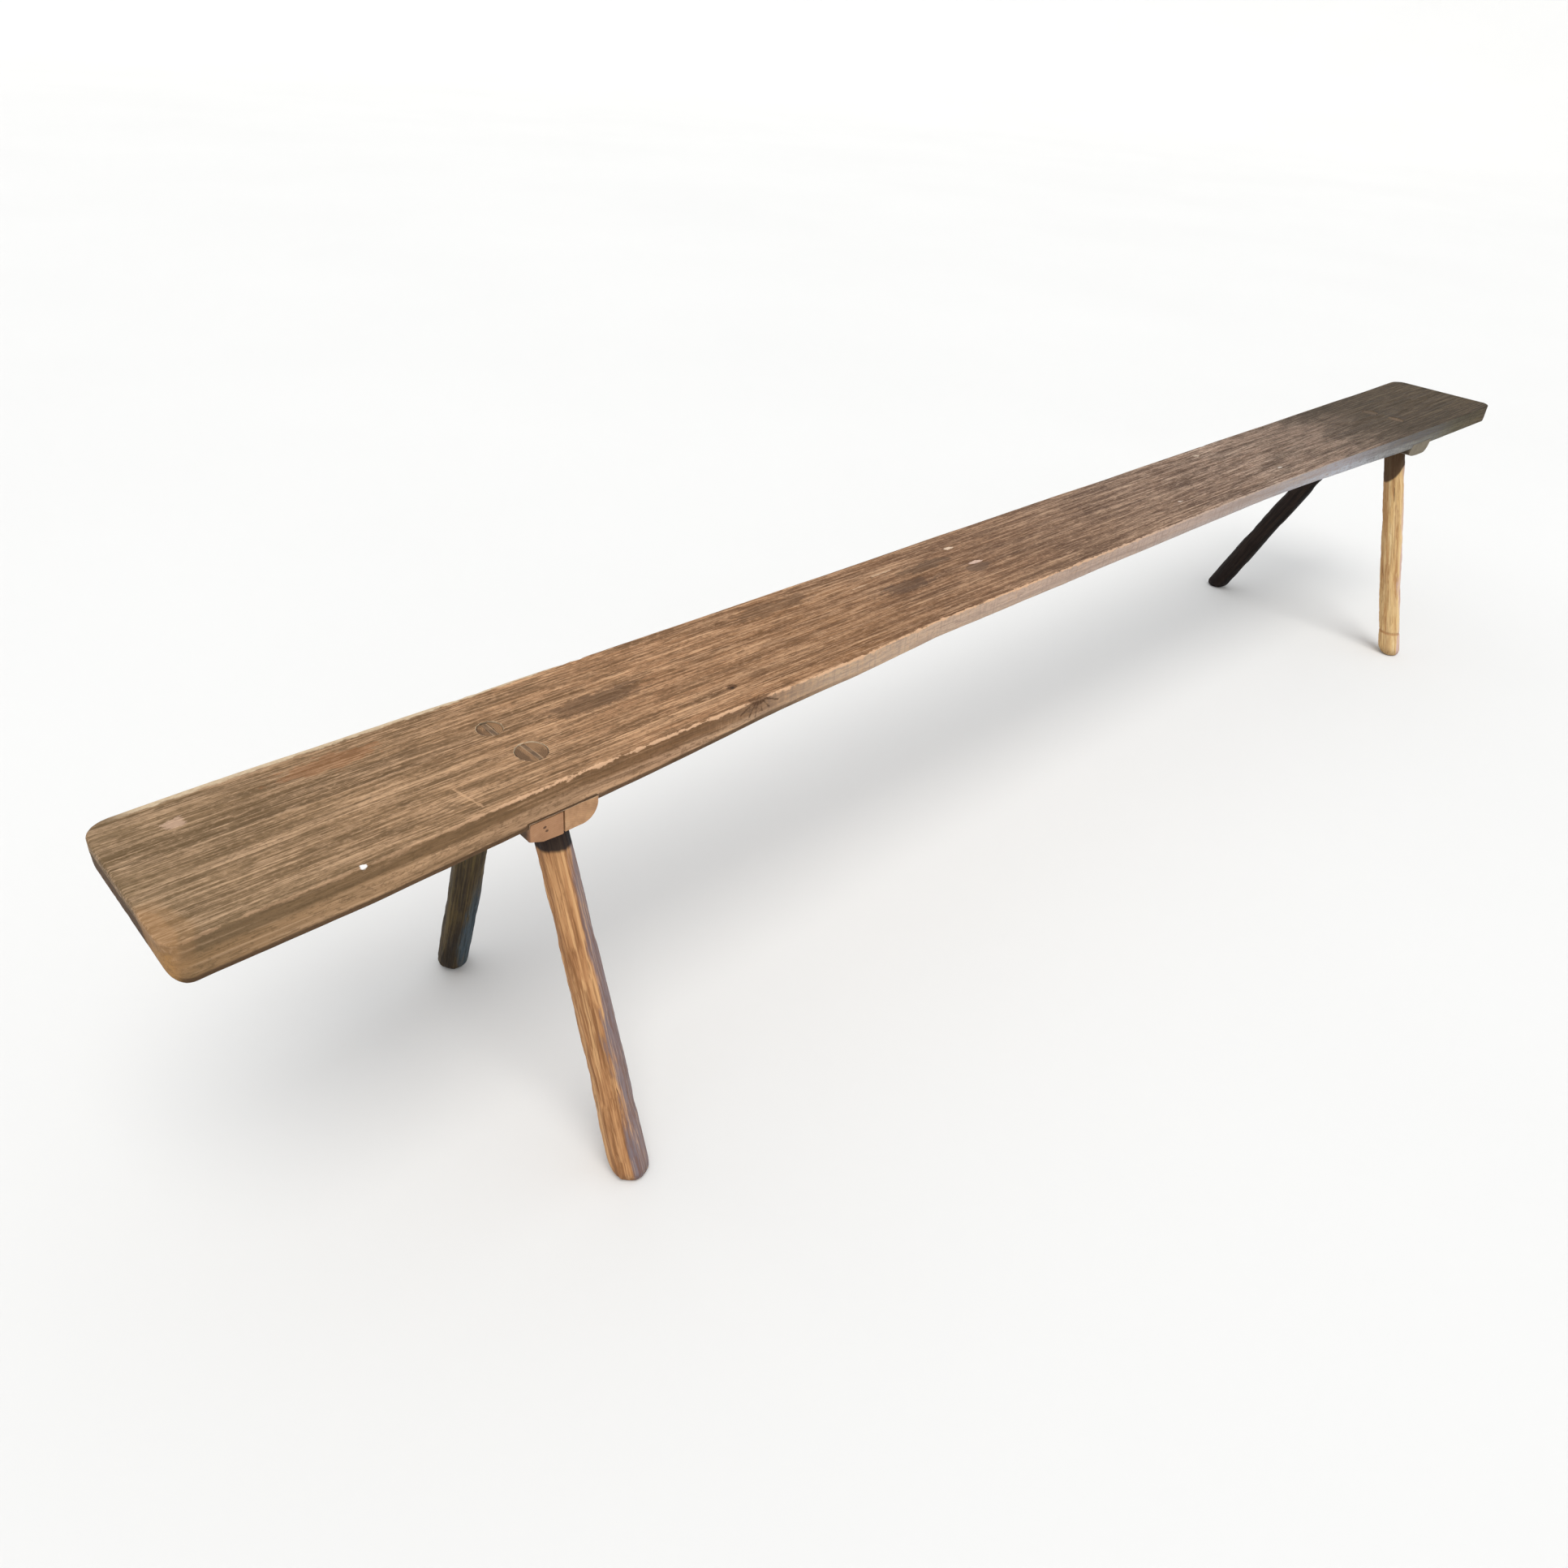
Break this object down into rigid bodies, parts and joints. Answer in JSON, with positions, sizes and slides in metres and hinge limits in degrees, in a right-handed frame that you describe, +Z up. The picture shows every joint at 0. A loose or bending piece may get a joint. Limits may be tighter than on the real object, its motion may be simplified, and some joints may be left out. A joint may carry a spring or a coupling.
{
  "type": "farmhouse bench",
  "caption": "Long narrow farmhouse bench with a hewn plank seat on two let-in battens and splayed round legs whose wedged tenons show in the seat.",
  "frame": {"origin": "on the floor under the middle of the bench", "axes": "+X along the bench to its right end, +Y across it to the back, +Z up"},
  "size_m": [2.8, 0.4726, 0.466],
  "materials": {
    "seat_wood": "weathered open grain, worn arrises",
    "batten_left_wood": "planed, dull",
    "batten_right_wood": "weathered grey",
    "leg_front_left_wood": "hewn, rubbed",
    "leg_back_left_wood": "hewn, dark with age",
    "leg_front_right_wood": "peeled pole, pale",
    "leg_back_right_wood": "peeled pole, dark with age",
    "wedge_wood": "split, sawn flush"
  },
  "bodies": {
    "root": {"seat_plank": "seat_wood", "batten_left": "batten_left_wood", "batten_right": "batten_right_wood", "leg_front_left": "leg_front_left_wood", "leg_back_left": "leg_back_left_wood", "leg_front_right": "leg_front_right_wood", "leg_back_right": "leg_back_right_wood", "wedge_front_left": "wedge_wood", "wedge_back_left": "wedge_wood", "wedge_front_right": "wedge_wood", "wedge_back_right": "wedge_wood"}
  },
  "joints": []
}
